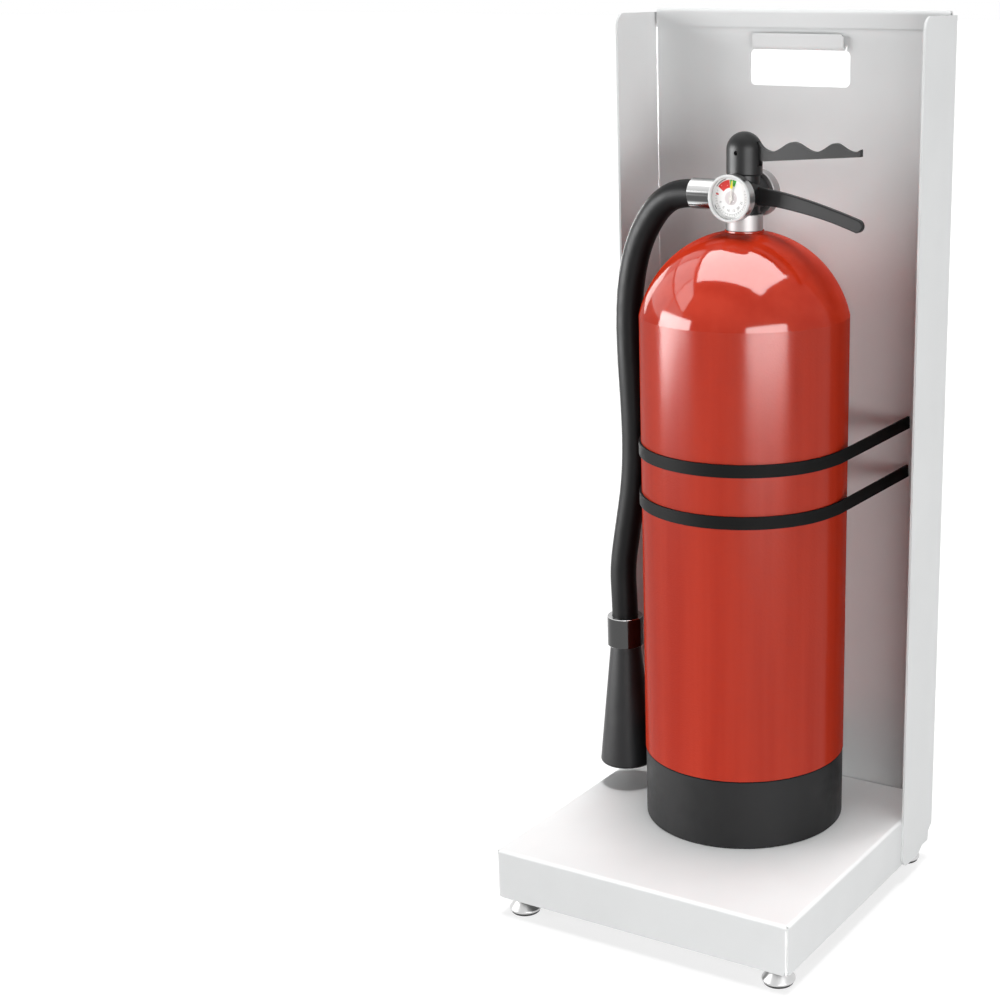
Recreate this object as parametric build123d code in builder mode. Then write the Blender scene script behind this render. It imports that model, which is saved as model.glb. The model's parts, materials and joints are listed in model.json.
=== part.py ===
from build123d import *
import os
from math import asin, cos, pi, radians, sin, tan

os.makedirs("parts", exist_ok=True)

# A floor stand of folded white sheet metal with its fire extinguisher strapped in.
# Millimetres. X to the right seen from the front, Y to the back, Z up.
# The origin is on the floor, in the middle of the stand's footprint.

# Sheet metal
stand_width = 290.0
stand_depth = 288.0
sheet = 2.0
bend_inside = 1.0
weld_gap = 0.2

# Base tray
base_top = 62.0
skirt_height = 45.0
skirt_corner = 5.0
relief_radius = 1.0

# Back panel
flange_depth = 67.0
flange_top = 757.0
flange_bottom = 14.5
flange_corner = 11.0
panel_bottom = 33.5
chamfer_depth = 32.0
fold_gap = 3.0
hem_length = 11.5
hem_corner = 2.5
notch_width = 2.0
notch_depth = 5.0
hole_width = 97.0
hole_drop = 30.0
hole_height = 30.5
hole_corner = 5.0
flap_width = 87.0
flap_length = 10.0
flap_corner = 3.0

# Levelling feet
foot_inset = 17.0
pad_radius = 12.5
pad_thickness = 2.5
disc_radius = 14.0
disc_rim = 2.0
neck_radius = 5.5
neck_top = 18.0
neck_length = 2.0
stud_radius = 4.0
stud_top = 50.0
stud_clearance = 0.1
bracket_size = 40.0
bracket_bottom = 30.0
bracket_thickness = 2.5
bracket_cut = 16.0
nut_across_flats = 13.0
nut_height = 6.5
nut_edge = 0.8

# Cylinder
cylinder_x = 3.5
cylinder_y = 37.7
cylinder_radius = 89.0
cylinder_wall_thickness = 2.0
boot_height = 62.5
boot_radius = 88.6
boot_wall = 3.0
boot_floor = 3.0
boot_edge = 0.8
seat_gap = 0.1
wall_length = 390.7
wall_edge = 0.9
dome_radius = 89.4
dome_skirt = 15.3
dome_height = 86.0
neck_ring_radius = 16.4
neck_ring_trim = 0.2
bottom_dish_height = 42.0

# Valve
collar_radius = 15.5
collar_length = 13.6
collar_edge = 0.4
drum_radius = 15.5
drum_rise = 15.6
drum_front = 16.0
drum_back = 15.8
drum_edge = 1.0
post_radius = 13.0
cap_radius = 15.0
cap_rise = 16.0
cap_shoulder = 20.0
cap_edge = 1.5
pivot_rise = 18.5
disc_back_radius = 19.6
disc_back_thickness = 11.4
disc_back_edge = 1.0

# Squeeze lever and carry handle
lever_thickness = 5.0
lever_side_gap = 0.4
pin_radius = 1.8
pin_clearance = 0.05
pin_recess = 5.0
boss_radius = 5.0
boss_gap = 1.2
slot_depth = 10.8
slot_rise = 8.8
lever_reach = 106.3
lever_tip_rise = 0.5
handle_thickness = 6.0
handle_edge = 1.0
handle_reach = 109.0
handle_tip_drop = 20.3

# Gauge
gauge_drop = 1.0
gauge_radius = 19.3
gauge_front = 28.0
bezel_depth = 2.3
bezel_edge = 0.8
bezel_inside = 17.1
glass_thickness = 0.8
case_wall = 1.5
case_edge = 1.5
dial_thickness = 0.6
needle_thickness = 0.6
needle_gap = 0.6
needle_length = 15.2
needle_tail = 4.5
needle_half = 0.5
needle_head_half = 1.3
needle_head_length = 7.6
needle_hub = 1.9
spindle_radius = 0.6
needle_angle = 8.0

# Hose, collar band and horn
hose_radius = 11.8
ferrule_radius = 12.7
ferrule_wall = 0.6
ferrule_length = 28.3
ferrule_offset = 20.5
ferrule_drop = 1.5
ferrule_edge = 0.8
outlet_radius = 10.5
hose_seat = 41.5
hose_route = [
    (-38.0, 37.7, 613.5),
    (-57.5, 37.7, 613.5),
    (-75.2, 37.6, 605.0),
    (-88.4, 37.3, 589.0),
    (-98.9, 36.9, 569.5),
    (-106.4, 36.4, 543.5),
    (-110.2, 35.8, 512.0),
    (-109.8, 35.4, 475.0),
    (-107.4, 35.5, 435.0),
    (-106.0, 36.0, 395.0),
    (-108.0, 36.2, 354.0),
    (-115.4, 35.6, 311.0),
    (-121.6, 34.8, 272.0),
    (-119.4, 34.0, 240.0),
    (-119.4, 34.0, 216.0),
]
band_radius = 16.4
band_top = 227.0
band_bottom = 199.0
band_clearance = 0.3
band_edge = 0.5
horn_top_radius = 13.8
horn_mouth_radius = 25.4
horn_mouth = 83.5
horn_wall = 3.5
horn_lip = 3.0

# Straps
strap_width = 10.8
strap_thickness = 1.8
strap_spread = 107.0
strap_rise = 11.0
strap_heights = {"upper": 401.5, "lower": 357.5}

# Derived places
boot_top = base_top + boot_height
wall_bottom = boot_top + seat_gap
wall_top = wall_bottom + wall_length
dome_base = wall_top - dome_skirt
neck_ring_top = dome_base + dome_height - neck_ring_trim
collar_top = neck_ring_top + collar_length
drum_height = collar_top + drum_rise
cap_bottom = drum_height + cap_rise
shoulder_height = cap_bottom + cap_shoulder
pivot_height = cap_bottom + pivot_rise
gauge_height = drum_height - gauge_drop
ferrule_height = drum_height - ferrule_drop
ferrule_inner = cylinder_x - ferrule_offset
ferrule_outer = ferrule_inner - seat_gap - ferrule_length
slot_bottom = pivot_height - slot_depth
slot_top = pivot_height + slot_rise
hole_top = flange_top - hole_drop
hole_bottom = hole_top - hole_height
half_width = stand_width / 2
half_depth = stand_depth / 2
panel_back = half_depth
panel_face = panel_back - sheet
panel_front = panel_back - flange_depth
base_half_x = half_width - sheet - weld_gap
base_back = panel_face - weld_gap
base_front = -half_depth
skirt_bottom = base_top - skirt_height
fold_outer = fold_gap / 2 + sheet
fold_centre_y = panel_face - fold_gap / 2
strip_front = panel_face - fold_gap - sheet
bend_outside = bend_inside + sheet
hem_half = half_width - bend_outside - notch_width


def finish(piece, label):
    """Labels a finished piece and writes its file."""
    piece.part.label = label
    export_step(piece.part, f"parts/{label}.step")
    return piece


def across(y):
    """A vertical plane facing the front, at depth y; its own x and y are the model's X and Z."""
    return Plane.XZ.offset(-y)


# Back panel: one folded sheet with a flange each side, a hem on top and a hem above the hand hole
with BuildPart() as back_panel:
    with BuildSketch(Plane.XY.offset(flange_bottom)):
        with BuildLine():
            Polyline(
                (-half_width, panel_front), (-half_width, panel_back), (half_width, panel_back),
                (half_width, panel_front), (half_width - sheet, panel_front),
                (half_width - sheet, panel_face), (-half_width + sheet, panel_face),
                (-half_width + sheet, panel_front), close=True,
            )
        section = make_face()
        outer_bends = section.vertices().filter_by_position(Axis.Y, panel_back - 0.1, panel_back + 0.1)
        fillet(outer_bends, bend_outside)
    extrude(amount=flange_top - flange_bottom)
    bend_edges = (
        back_panel.edges()
        .filter_by(Axis.Z)
        .filter_by_position(Axis.Y, panel_face - 0.1, panel_face + 0.1)
    )
    fillet(bend_edges, bend_inside)

    # Side outline: rounded flange corners and the sloping cut behind
    with BuildSketch(Plane.YZ):
        with BuildLine():
            Polyline(
                (panel_front, flange_bottom), (panel_front, flange_top), (panel_back, flange_top),
                (panel_back, panel_bottom), (panel_face - bend_inside, panel_bottom),
                (panel_back - chamfer_depth, flange_bottom), close=True,
            )
        outline = make_face()
        fillet(
            outline.vertices().filter_by_position(Axis.X, panel_front - 0.1, panel_front + 0.1),
            flange_corner,
        )
    extrude(amount=half_width + 1, both=True, mode=Mode.INTERSECT)

    # Relief notches beside the top hem, and the hand hole with its own reliefs
    with BuildSketch(across(panel_back)):
        notch_centre = hem_half + notch_width / 2
        with Locations((-notch_centre, flange_top), (notch_centre, flange_top)):
            Rectangle(notch_width, 2 * notch_depth)
        with Locations((0, hole_bottom + hole_height / 2)):
            RectangleRounded(hole_width, hole_height, hole_corner)
        with Locations((0, hole_top)):
            Rectangle(flap_width + 2 * notch_width, 2 * fold_outer)
    extrude(amount=bend_outside + 1, mode=Mode.SUBTRACT)

    # Top hem: a half ring over the top edge and a strip hanging from it
    with BuildSketch(Plane.YZ):
        with Locations((fold_centre_y, flange_top)):
            Circle(fold_outer)
            Circle(fold_gap / 2, mode=Mode.SUBTRACT)
        with Locations((fold_centre_y, flange_top - fold_outer)):
            Rectangle(4 * fold_outer, 2 * fold_outer, mode=Mode.SUBTRACT)
        with Locations((strip_front + sheet / 2, flange_top - hem_length / 2)):
            Rectangle(sheet, hem_length)
    extrude(amount=hem_half, both=True)

    # Flap above the hand hole: folded forward and up
    flap_fold = hole_top + fold_outer
    with BuildSketch(Plane.YZ):
        with Locations((fold_centre_y, flap_fold)):
            Circle(fold_outer)
            Circle(fold_gap / 2, mode=Mode.SUBTRACT)
        with Locations((fold_centre_y, flap_fold + fold_outer)):
            Rectangle(4 * fold_outer, 2 * fold_outer, mode=Mode.SUBTRACT)
        with Locations((strip_front + sheet / 2, flap_fold + flap_length / 2)):
            Rectangle(sheet, flap_length)
    extrude(amount=flap_width / 2, both=True)

    # Rounded free corners of the hem and the flap
    strip_edges = back_panel.edges().filter_by(Axis.Y).filter_by_position(
        Axis.Y, strip_front - 0.1, strip_front + sheet + 0.1
    )
    hem_tips = strip_edges.filter_by_position(
        Axis.Z, flange_top - hem_length - 0.1, flange_top - hem_length + 0.1
    )
    fillet(hem_tips, hem_corner)
    strip_edges = back_panel.edges().filter_by(Axis.Y).filter_by_position(
        Axis.Y, strip_front - 0.1, strip_front + sheet + 0.1
    )
    flap_tips = strip_edges.filter_by_position(
        Axis.Z, flap_fold + flap_length - 0.1, flap_fold + flap_length + 0.1
    )
    fillet(flap_tips, flap_corner)
finish(back_panel, "back_panel")


# Base tray: an upturned tray with closed corners
with BuildPart() as base_tray:
    with BuildSketch(Plane.XY.offset(skirt_bottom)):
        with Locations((0, (base_front + base_back) / 2)):
            Rectangle(2 * base_half_x, base_back - base_front)
    extrude(amount=skirt_height)
    fillet(base_tray.edges().filter_by(Axis.Z), bend_outside)
    fillet(base_tray.faces().sort_by(Axis.Z)[-1].edges(), bend_outside)
    underside = base_tray.faces().sort_by(Axis.Z)[0]
    offset(amount=-sheet, openings=underside)
    # The skirts' lower corners are rounded off
    for end_y, inward in ((base_front, -1), (base_back, 1)):
        with BuildSketch(across(end_y)):
            for side_x in (-1, 1):
                with Locations((side_x * (base_half_x - skirt_corner / 2), skirt_bottom + skirt_corner / 2)):
                    Rectangle(skirt_corner, skirt_corner)
            for side_x in (-1, 1):
                with Locations((side_x * (base_half_x - skirt_corner), skirt_bottom + skirt_corner)):
                    Circle(skirt_corner, mode=Mode.SUBTRACT)
        extrude(amount=inward * bend_outside, mode=Mode.SUBTRACT)
    for side_x in (-1, 1):
        with BuildSketch(Plane.YZ.offset(side_x * base_half_x)):
            for end_y, inward in ((base_front, 1), (base_back, -1)):
                with Locations((end_y + inward * skirt_corner / 2, skirt_bottom + skirt_corner / 2)):
                    Rectangle(skirt_corner, skirt_corner)
            for end_y, inward in ((base_front, 1), (base_back, -1)):
                with Locations((end_y + inward * skirt_corner, skirt_bottom + skirt_corner)):
                    Circle(skirt_corner, mode=Mode.SUBTRACT)
        extrude(amount=-side_x * bend_outside, mode=Mode.SUBTRACT)
    # Relief hole where three bends meet
    for side_x in (-1, 1):
        for end_y in (base_front, base_back):
            corner = (side_x * base_half_x, end_y, base_top)
            inward = (-side_x, 1 if end_y < 0 else -1, -1)
            with BuildSketch(Plane(origin=corner, z_dir=inward)):
                Circle(relief_radius)
            extrude(amount=3 * sheet, mode=Mode.SUBTRACT)
finish(base_tray, "base_tray")


# Four levelling feet, each with its bracket and nut inside a corner of the tray
def corner_name(side_x, side_y):
    """Says which corner of the stand a foot is at."""
    return ("front" if side_y < 0 else "back") + ("_left" if side_x < 0 else "_right")


skirt_inside_x = base_half_x - sheet - weld_gap
skirt_inside_front = base_front + sheet + weld_gap
skirt_inside_back = base_back - sheet - weld_gap
foot_x = base_half_x - foot_inset

for side_x in (-1, 1):
    for side_y in (-1, 1):
        corner = corner_name(side_x, side_y)
        edge_x = side_x * skirt_inside_x
        edge_y = skirt_inside_front if side_y < 0 else skirt_inside_back
        centre_x = side_x * foot_x
        centre_y = base_front + foot_inset if side_y < 0 else base_back - foot_inset

        # Bracket: a flat plate welded across the corner, its free corner cut off
        with BuildPart() as bracket:
            with BuildSketch(Plane.XY.offset(bracket_bottom)):
                with BuildLine():
                    Polyline(
                        (edge_x, edge_y),
                        (edge_x - side_x * bracket_size, edge_y),
                        (edge_x - side_x * bracket_size, edge_y - side_y * (bracket_size - bracket_cut)),
                        (edge_x - side_x * (bracket_size - bracket_cut), edge_y - side_y * bracket_size),
                        (edge_x, edge_y - side_y * bracket_size),
                        close=True,
                    )
                plate = make_face()
                fillet(plate.vertices().sort_by_distance((edge_x, edge_y))[0], bend_outside)
                with Locations((centre_x, centre_y)):
                    Circle(stud_radius + stud_clearance, mode=Mode.SUBTRACT)
            extrude(amount=bracket_thickness)
        finish(bracket, f"foot_bracket_{corner}")

        # Nut welded on the bracket
        nut_base = bracket_bottom + bracket_thickness
        with BuildPart() as nut:
            with BuildSketch(Plane.XY.offset(nut_base)):
                with Locations((centre_x, centre_y)):
                    RegularPolygon(nut_across_flats / 2, 6, major_radius=False)
                    Circle(stud_radius + stud_clearance, mode=Mode.SUBTRACT)
            extrude(amount=nut_height)
            fillet(nut.faces().sort_by(Axis.Z)[-1].edges().filter_by(GeomType.LINE), nut_edge)
        finish(nut, f"foot_nut_{corner}")

        # Flared foot with its threaded stud, turned in one piece
        at_foot = Plane(origin=(centre_x, centre_y, 0), x_dir=(1, 0, 0), z_dir=(0, -1, 0))
        foot_axis = Axis((centre_x, centre_y, 0), (0, 0, 1))
        with BuildPart() as foot:
            with BuildSketch(at_foot):
                with BuildLine():
                    Polyline(
                        (0, pad_thickness), (disc_radius, pad_thickness),
                        (disc_radius, pad_thickness + disc_rim), (neck_radius, neck_top - neck_length),
                        (neck_radius, neck_top), (stud_radius, neck_top), (stud_radius, stud_top),
                        (0, stud_top), close=True,
                    )
                make_face()
            revolve(axis=foot_axis)
            fillet(foot.edges().filter_by(GeomType.CIRCLE).group_by(SortBy.RADIUS)[-1], disc_rim * 0.45)
            chamfer(foot.edges().filter_by(GeomType.CIRCLE).sort_by(Axis.Z)[-1], stud_radius / 5)
        finish(foot, f"levelling_foot_{corner}")

        # Rubber pad under the foot
        with BuildPart() as pad:
            with BuildSketch(Plane.XY):
                with Locations((centre_x, centre_y)):
                    Circle(pad_radius)
            extrude(amount=pad_thickness)
            chamfer(pad.edges().sort_by(Axis.Z)[0], pad_thickness / 5)
        finish(pad, f"foot_pad_{corner}")


# Cylinder: wall tube, top end, bottom end and the boot that it stands in
cylinder_axis = Axis((cylinder_x, cylinder_y, 0), (0, 0, 1))
at_cylinder = Plane(origin=(cylinder_x, cylinder_y, 0), x_dir=(1, 0, 0), z_dir=(0, -1, 0))
cylinder_inside = cylinder_radius - cylinder_wall_thickness

with BuildPart() as cylinder_wall:
    with BuildSketch(Plane.XY.offset(wall_bottom)):
        with Locations((cylinder_x, cylinder_y)):
            Circle(cylinder_radius)
            Circle(cylinder_inside, mode=Mode.SUBTRACT)
    extrude(amount=wall_top - wall_bottom)
    top_rims = cylinder_wall.edges().filter_by(GeomType.CIRCLE).group_by(Axis.Z)[-1]
    fillet(top_rims.sort_by(SortBy.RADIUS)[-1], wall_edge)
finish(cylinder_wall, "cylinder_wall")

with BuildPart() as cylinder_dome:
    with BuildSketch(at_cylinder):
        with Locations((0, dome_base)):
            Ellipse(dome_radius, dome_height)
            Ellipse(
                dome_radius - cylinder_wall_thickness,
                dome_height - cylinder_wall_thickness,
                mode=Mode.SUBTRACT,
            )
        with Locations((cylinder_radius / 2, wall_top + dome_height / 2)):
            Rectangle(cylinder_radius, dome_height, mode=Mode.INTERSECT)
        with Locations((neck_ring_radius / 2, neck_ring_top - cylinder_wall_thickness / 2)):
            Rectangle(neck_ring_radius, 2 * cylinder_wall_thickness)
        with Locations((neck_ring_radius / 2, neck_ring_top + dome_height / 2)):
            Rectangle(neck_ring_radius, dome_height, mode=Mode.SUBTRACT)
    revolve(axis=cylinder_axis)
finish(cylinder_dome, "cylinder_dome")

dish_radius = boot_radius - boot_wall - seat_gap
with BuildPart() as cylinder_bottom:
    with BuildSketch(at_cylinder):
        with Locations((0, boot_top)):
            Ellipse(dish_radius, bottom_dish_height)
            Ellipse(
                dish_radius - cylinder_wall_thickness,
                bottom_dish_height - cylinder_wall_thickness,
                mode=Mode.SUBTRACT,
            )
        with Locations((dish_radius / 2, boot_top - bottom_dish_height / 2)):
            Rectangle(dish_radius, bottom_dish_height, mode=Mode.INTERSECT)
    revolve(axis=cylinder_axis)
finish(cylinder_bottom, "cylinder_bottom")

with BuildPart() as cylinder_boot:
    boot_bottom = base_top
    ledge = boot_radius - boot_wall
    with BuildSketch(at_cylinder):
        with BuildLine():
            Polyline(
                (0, boot_bottom), (boot_radius, boot_bottom), (boot_radius, boot_top), (ledge, boot_top),
                (ledge, boot_bottom + boot_floor), (0, boot_bottom + boot_floor), close=True,
            )
        make_face()
    revolve(axis=cylinder_axis)
    fillet(cylinder_boot.edges().filter_by(GeomType.CIRCLE).sort_by(Axis.Z)[:1], boot_edge)
finish(cylinder_boot, "cylinder_boot")


# Neck collar and valve body
with BuildPart() as neck_collar:
    with BuildSketch(Plane.XY.offset(neck_ring_top)):
        with Locations((cylinder_x, cylinder_y)):
            Circle(collar_radius)
    extrude(amount=collar_top - neck_ring_top)
    chamfer(neck_collar.edges(), collar_edge)
finish(neck_collar, "neck_collar")

with BuildPart() as valve_body:
    with BuildSketch(across(cylinder_y + drum_back)):
        with Locations((cylinder_x, drum_height)):
            Circle(drum_radius)
    extrude(amount=drum_front + drum_back)
    fillet(valve_body.edges().filter_by(GeomType.CIRCLE), drum_edge)
    with BuildSketch(Plane.XY.offset(collar_top)):
        with Locations((cylinder_x, cylinder_y)):
            Circle(post_radius)
    extrude(amount=cap_bottom - collar_top)
    # Outlet boss that the ferrule screws onto
    with BuildSketch(Plane.YZ.offset(ferrule_inner)):
        with Locations((cylinder_y, ferrule_height)):
            Circle(outlet_radius)
    extrude(amount=cylinder_x - ferrule_inner)
finish(valve_body, "valve_body")


# Domed cap with the lever's slot and the pin's bore
slot_width = lever_thickness + 2 * lever_side_gap
slot_back = cylinder_x - boss_radius - boss_gap
with BuildPart() as valve_cap:
    with BuildSketch(at_cylinder):
        with BuildLine():
            Polyline(
                (0, cap_bottom), (cap_radius, cap_bottom), (cap_radius, shoulder_height),
            )
            CenterArc((0, shoulder_height), cap_radius, 0, 90)
            Line((0, shoulder_height + cap_radius), (0, cap_bottom))
        make_face()
    revolve(axis=cylinder_axis)
    fillet(valve_cap.edges().filter_by(GeomType.CIRCLE).sort_by(Axis.Z)[0], cap_edge)
    with BuildSketch(across(cylinder_y)):
        with Locations(((slot_back + cylinder_x + 2 * cap_radius) / 2, (slot_bottom + slot_top) / 2)):
            Rectangle(cylinder_x + 2 * cap_radius - slot_back, slot_top - slot_bottom)
    extrude(amount=slot_width / 2, both=True, mode=Mode.SUBTRACT)
    with BuildSketch(across(cylinder_y)):
        with Locations((cylinder_x, pivot_height)):
            Circle(pin_radius + pin_clearance)
    extrude(amount=cap_radius + 1, both=True, mode=Mode.SUBTRACT)
finish(valve_cap, "valve_cap")

with BuildPart() as lever_pin:
    with BuildSketch(across(cylinder_y)):
        with Locations((cylinder_x, pivot_height)):
            Circle(pin_radius)
    extrude(amount=cap_radius - pin_recess, both=True)
finish(lever_pin, "lever_pin")


# Squeeze lever: a flat plate with two finger waves along its top
lever_waves = [
    (14.0, 8.4), (19.8, 3.0), (26.6, 1.4), (36.0, 5.4), (45.7, 9.8), (56.4, 5.8),
    (66.0, 2.8), (74.9, 6.1), (83.8, 10.4), (91.9, 6.8), (99.4, 4.2), (lever_reach, 6.3),
]
lever_root = [(19.7, -6.7), (2.0, -5.0), (0.5, 5.0)]
with BuildPart() as squeeze_lever:
    with BuildSketch(across(cylinder_y)):
        with BuildLine():
            waves = Spline(
                *[(cylinder_x + along, pivot_height + up) for along, up in lever_waves],
            )
            Polyline(
                waves @ 1, (cylinder_x + lever_reach, pivot_height + lever_tip_rise),
                *[(cylinder_x + along, pivot_height + up) for along, up in lever_root],
                waves @ 0,
            )
        make_face()
        with Locations((cylinder_x, pivot_height)):
            Circle(boss_radius)
            Circle(pin_radius + pin_clearance, mode=Mode.SUBTRACT)
    extrude(amount=lever_thickness / 2, both=True)
finish(squeeze_lever, "squeeze_lever")


# Carry handle: a curved flat bar seated on the side of the valve body
handle_upper = [(8.5, 7.3), (39.6, 2.6), (62.7, -2.5), (78.0, -6.6), (93.2, -11.0), (105.5, -15.0)]
handle_lower = [(8.5, -8.5), (23.3, -8.3), (51.3, -11.9), (78.1, -17.6), (93.3, -22.0), (103.0, -25.2)]
handle_tip = (cylinder_x + handle_reach, drum_height - handle_tip_drop)
handle_seat = drum_radius + seat_gap
with BuildPart() as carry_handle:
    with BuildSketch(across(cylinder_y)):
        with BuildLine():
            upper = Spline(*[(cylinder_x + along, drum_height + up) for along, up in handle_upper])
            lower = Spline(*[(cylinder_x + along, drum_height + up) for along, up in handle_lower])
            ThreePointArc(upper @ 1, handle_tip, lower @ 1)
            Line(upper @ 0, lower @ 0)
        make_face()
        with Locations((cylinder_x, drum_height)):
            Circle(handle_seat, mode=Mode.SUBTRACT)
    extrude(amount=handle_thickness / 2, both=True)
    fillet(carry_handle.edges().filter_by(GeomType.BSPLINE), handle_edge)
finish(carry_handle, "carry_handle")


# Gauge on the front of the valve body
gauge_face_y = cylinder_y - gauge_front
case_front_y = gauge_face_y + bezel_depth
case_back_y = cylinder_y - drum_front - seat_gap
glass_back_y = case_front_y + glass_thickness
dial_front_y = glass_back_y + needle_gap + needle_thickness + needle_gap
dial_back_y = dial_front_y + dial_thickness

with BuildPart() as gauge_case:
    with BuildSketch(across(case_back_y)):
        with Locations((cylinder_x, gauge_height)):
            Circle(gauge_radius)
    extrude(amount=case_back_y - case_front_y)
    fillet(gauge_case.edges().filter_by(GeomType.CIRCLE).sort_by(Axis.Y)[-1], case_edge)
    with BuildSketch(across(case_front_y)):
        with Locations((cylinder_x, gauge_height)):
            Circle(gauge_radius - case_wall)
    extrude(amount=case_front_y - dial_back_y, mode=Mode.SUBTRACT)
finish(gauge_case, "gauge_case")

with BuildPart() as gauge_bezel:
    with BuildSketch(across(case_front_y)):
        with Locations((cylinder_x, gauge_height)):
            Circle(gauge_radius)
            Circle(bezel_inside, mode=Mode.SUBTRACT)
    extrude(amount=bezel_depth)
    fillet(gauge_bezel.edges().filter_by(GeomType.CIRCLE).group_by(Axis.Y)[0], bezel_edge)
finish(gauge_bezel, "gauge_bezel")

glass_radius = gauge_radius - case_wall - seat_gap
with BuildPart() as gauge_glass:
    with BuildSketch(across(glass_back_y)):
        with Locations((cylinder_x, gauge_height)):
            Circle(glass_radius)
    extrude(amount=glass_thickness)
finish(gauge_glass, "gauge_glass")

with BuildPart() as gauge_dial:
    with BuildSketch(across(dial_back_y)):
        with Locations((cylinder_x, gauge_height)):
            Circle(glass_radius)
    extrude(amount=dial_thickness)
    with BuildSketch(across(dial_front_y)):
        with Locations((cylinder_x, gauge_height)):
            Circle(spindle_radius)
    extrude(amount=needle_gap + needle_thickness / 2)
finish(gauge_dial, "gauge_dial")

with BuildPart() as gauge_needle:
    needle_back_y = dial_front_y - needle_gap
    with BuildSketch(across(needle_back_y)):
        with Locations(Location((cylinder_x, gauge_height, 0), (0, 0, -needle_angle))):
            with BuildLine(mode=Mode.PRIVATE) as pointer:
                neck = needle_length - needle_head_length
                Polyline(
                    (-needle_half, -needle_tail), (needle_half, -needle_tail), (needle_half, neck),
                    (needle_head_half, neck), (0, needle_length), (-needle_head_half, neck),
                    (-needle_half, neck), close=True,
                )
            add(make_face(pointer.edges(), mode=Mode.PRIVATE))
            Circle(needle_hub)
            Circle(spindle_radius + pin_clearance, mode=Mode.SUBTRACT)
    extrude(amount=needle_thickness)
finish(gauge_needle, "gauge_needle")

# Plain disc on the back of the valve
with BuildPart() as valve_back_disc:
    disc_front_y = cylinder_y + drum_back + seat_gap
    with BuildSketch(across(disc_front_y + disc_back_thickness)):
        with Locations((cylinder_x, gauge_height)):
            Circle(disc_back_radius)
    extrude(amount=disc_back_thickness)
    fillet(valve_back_disc.edges().filter_by(GeomType.CIRCLE).group_by(SortBy.RADIUS)[-1], disc_back_edge)
finish(valve_back_disc, "valve_back_disc")


# Hose ferrule: a crimped sleeve, bored for the hose
with BuildPart() as hose_ferrule:
    with BuildSketch(Plane.YZ.offset(ferrule_outer)):
        with Locations((cylinder_y, ferrule_height)):
            Circle(ferrule_radius)
    extrude(amount=ferrule_length)
    fillet(hose_ferrule.edges().filter_by(GeomType.CIRCLE).sort_by(Axis.X)[0], ferrule_edge)
    with BuildSketch(Plane.YZ.offset(ferrule_outer)):
        with Locations((cylinder_y, ferrule_height)):
            Circle(ferrule_radius - ferrule_wall)
    extrude(amount=cylinder_x - hose_seat - ferrule_outer, mode=Mode.SUBTRACT)
finish(hose_ferrule, "hose_ferrule")

# Hose: straight runs joined by tangent arcs
points = [Vector(*p) for p in hose_route]
radii = []
for before, here, after in zip(points, points[1:], points[2:]):
    turn = radians((here - before).get_angle(after - here))
    shorter = min((here - before).length, (after - here).length)
    radii.append(0.45 * shorter / tan(turn / 2))
with BuildPart() as hose:
    with BuildLine() as hose_path:
        FilletPolyline(*points, radius=radii)
    with BuildSketch(Plane(origin=points[0], z_dir=points[1] - points[0])):
        Circle(hose_radius)
    sweep(path=hose_path.wires()[0])
finish(hose, "hose")
hose_length = hose_path.wires()[0].length
print("hose radii", [round(r, 1) for r in radii])
print("hose length", round(hose_length, 1), "volume ratio",
      round(hose.part.volume / (pi * hose_radius ** 2 * hose_length), 4))

# Chrome band over the hose's end
tool_x, tool_y, hose_end = hose_route[-1]
at_tool = Plane(origin=(tool_x, tool_y, 0), x_dir=(1, 0, 0), z_dir=(0, -1, 0))
tool_axis = Axis((tool_x, tool_y, 0), (0, 0, 1))
with BuildPart() as horn_band:
    with BuildSketch(Plane.XY.offset(band_bottom)):
        with Locations((tool_x, tool_y)):
            Circle(band_radius)
            Circle(hose_radius + band_clearance, mode=Mode.SUBTRACT)
    extrude(amount=band_top - band_bottom)
    chamfer(horn_band.edges().filter_by(GeomType.CIRCLE).group_by(SortBy.RADIUS)[-1], band_edge)
finish(horn_band, "horn_band")

# Discharge horn: a hollow cone with a rounded lip, its neck inside the band
with BuildPart() as horn:
    with BuildSketch(at_tool):
        with BuildLine():
            Polyline(
                (0, hose_end), (hose_radius, hose_end), (hose_radius, band_bottom - seat_gap),
                (horn_top_radius, band_bottom - seat_gap), (horn_mouth_radius, horn_mouth),
                (horn_mouth_radius - horn_wall, horn_mouth), (hose_radius - horn_wall, band_bottom),
                (0, band_bottom), close=True,
            )
        make_face()
    revolve(axis=tool_axis)
    mouth_edges = horn.edges().filter_by_position(Axis.Z, horn_mouth - 0.1, horn_mouth + 0.1)
    fillet(mouth_edges.filter_by(GeomType.CIRCLE).sort_by(SortBy.RADIUS)[-1], min(horn_lip, 0.85 * horn_wall))
finish(horn, "horn")


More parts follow.
